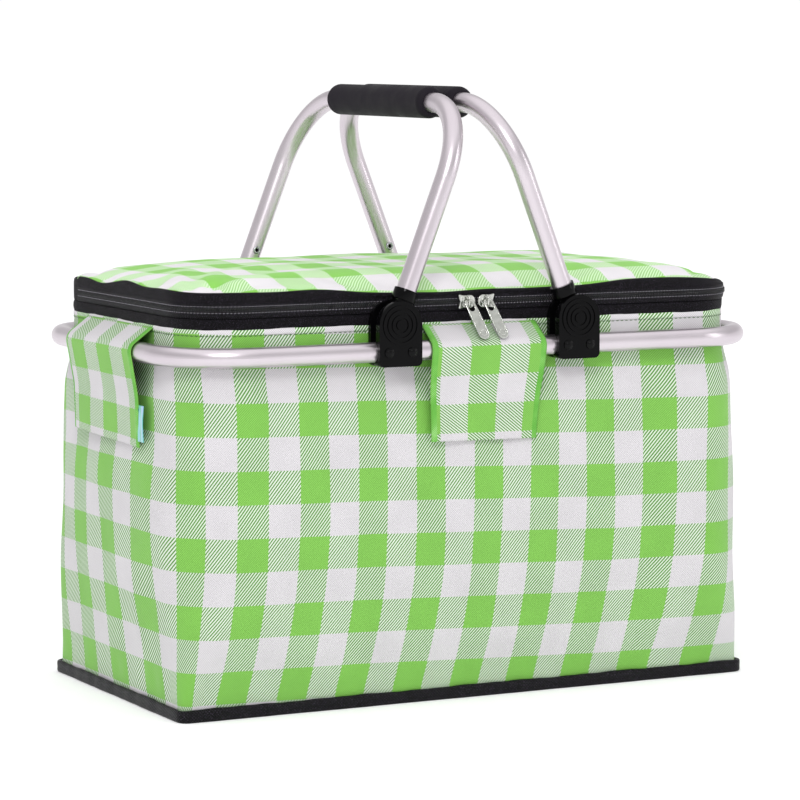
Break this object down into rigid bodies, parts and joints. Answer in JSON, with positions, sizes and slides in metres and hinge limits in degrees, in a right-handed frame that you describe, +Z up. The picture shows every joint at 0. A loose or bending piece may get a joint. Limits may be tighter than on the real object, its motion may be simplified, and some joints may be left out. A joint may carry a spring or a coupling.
{
  "type": "insulated picnic basket",
  "caption": "Soft insulated cooler bag with a zipped lid, hung in an aluminium rim frame with a pair of folding U handles and foam grips.",
  "frame": {"origin": "centre of the base, on the floor", "axes": "+Z up, X along the length, -Y towards the front with the zip sliders"},
  "size_m": [0.5048, 0.305, 0.4582],
  "materials": {
    "anodised_tube": "satin anodised",
    "black_plastic": "moulded nylon, semi-gloss",
    "black_rivet": "black",
    "steel": "plain",
    "grip_foam": "closed-cell foam, matt",
    "gingham": "green and white gingham oxford weave",
    "base_fabric": "black coated weave",
    "band_fabric": "black weave",
    "zip": "black nylon coil zip",
    "foam_core": "white closed-cell insulation foam",
    "foil_lining": "silver heat-sealed film",
    "board": "hardboard",
    "zinc": "plated zinc",
    "hook_tape": "hook tape",
    "loop_tape": "loop tape",
    "tag": "blank woven tag"
  },
  "bodies": {
    "base": {"wall_fabric": "gingham", "wall_foam": "foam_core", "lining": "foil_lining", "base_panel": "base_fabric", "base_board": "board", "base_binding": "base_fabric"},
    "rim": {"rim_tube_left": "anodised_tube", "rim_tube_right": "anodised_tube", "rim_tube_front": "anodised_tube", "rim_tube_rear": "anodised_tube", "block_outer_front_left": "black_plastic", "block_outer_front_right": "black_plastic", "block_outer_rear_left": "black_plastic", "block_outer_rear_right": "black_plastic", "block_inner_front_left": "black_plastic", "block_inner_front_right": "black_plastic", "block_inner_rear_left": "black_plastic", "block_inner_rear_right": "black_plastic", "block_rivets": "black_rivet", "pivot_pins": "steel", "body_band": "band_fabric", "hinge_band": "band_fabric", "zip_tape_lower": "zip", "zip_coil_lower": "zip", "loop_patches": "loop_tape", "tab_top_front": "gingham", "tab_top_rear": "gingham", "tab_top_left": "gingham", "tab_top_right": "gingham"},
    "handle_left": {"handle_tube_left": "anodised_tube", "grip_left": "grip_foam", "knuckle_front_left": "black_plastic", "knuckle_rear_left": "black_plastic", "handle_rivets_left": "steel"},
    "handle_right": {"handle_tube_right": "anodised_tube", "grip_right": "grip_foam", "knuckle_front_right": "black_plastic", "knuckle_rear_right": "black_plastic", "handle_rivets_right": "steel"},
    "lid": {"lid_cover": "gingham", "lid_foam": "foam_core", "lid_lining": "foil_lining", "lid_band": "band_fabric", "zip_tape_upper": "zip", "zip_coil_upper": "zip"},
    "slider_left": {"slider_left": "zinc"},
    "slider_right": {"slider_right": "zinc"},
    "pull_left": {"pull_left": "zinc"},
    "pull_right": {"pull_right": "zinc"},
    "tab_front": {"tab_flap_front": "gingham", "hook_strip_front": "hook_tape"},
    "tab_rear": {"tab_flap_rear": "gingham", "hook_strip_rear": "hook_tape"},
    "tab_left": {"tab_flap_left": "gingham", "hook_strip_left": "hook_tape", "side_tag": "tag"},
    "tab_right": {"tab_flap_right": "gingham", "hook_strip_right": "hook_tape"}
  },
  "joints": [
    {"name": "collapse", "type": "slide", "parent": "base", "child": "rim", "axis": [0, 0, 1], "range_m": [-0.175, 0], "deforming": ["wall_fabric", "wall_foam", "lining"]},
    {"name": "handle_left_swing", "type": "hinge", "parent": "rim", "child": "handle_left", "pos_m": [-0.075, 0, 0.286], "axis": [0, -1, 0], "range_deg": [0, 109]},
    {"name": "handle_right_swing", "type": "hinge", "parent": "rim", "child": "handle_right", "pos_m": [0.075, 0, 0.286], "axis": [0, 1, 0], "range_deg": [0, 109]},
    {"name": "lid_hinge", "type": "hinge", "parent": "rim", "child": "lid", "pos_m": [0, 0.1305, 0.311], "axis": [-1, 0, 0], "range_deg": [0, 27]},
    {"name": "slider_left_slide", "type": "slide", "parent": "rim", "child": "slider_left", "axis": [-1, 0, 0], "range_m": [0, 0.033]},
    {"name": "slider_right_slide", "type": "slide", "parent": "rim", "child": "slider_right", "axis": [1, 0, 0], "range_m": [0, 0.038]},
    {"name": "pull_left_hinge", "type": "hinge", "parent": "slider_left", "child": "pull_left", "pos_m": [-0.011, -0.13619, 0.3], "axis": [-1, 0, 0], "range_deg": [0, 140]},
    {"name": "pull_right_hinge", "type": "hinge", "parent": "slider_right", "child": "pull_right", "pos_m": [0.005, -0.13619, 0.3], "axis": [-1, 0, 0], "range_deg": [0, 140]},
    {"name": "tab_front_peel", "type": "hinge", "parent": "rim", "child": "tab_front", "pos_m": [0, -0.14867, 0.256], "axis": [-1, 0, 0], "range_deg": [0, 120]},
    {"name": "tab_rear_peel", "type": "hinge", "parent": "rim", "child": "tab_rear", "pos_m": [0, 0.14867, 0.256], "axis": [1, 0, 0], "range_deg": [0, 120]},
    {"name": "tab_left_peel", "type": "hinge", "parent": "rim", "child": "tab_left", "pos_m": [-0.25067, 0, 0.256], "axis": [0, 1, 0], "range_deg": [0, 120]},
    {"name": "tab_right_peel", "type": "hinge", "parent": "rim", "child": "tab_right", "pos_m": [0.25067, 0, 0.256], "axis": [0, -1, 0], "range_deg": [0, 120]}
  ]
}
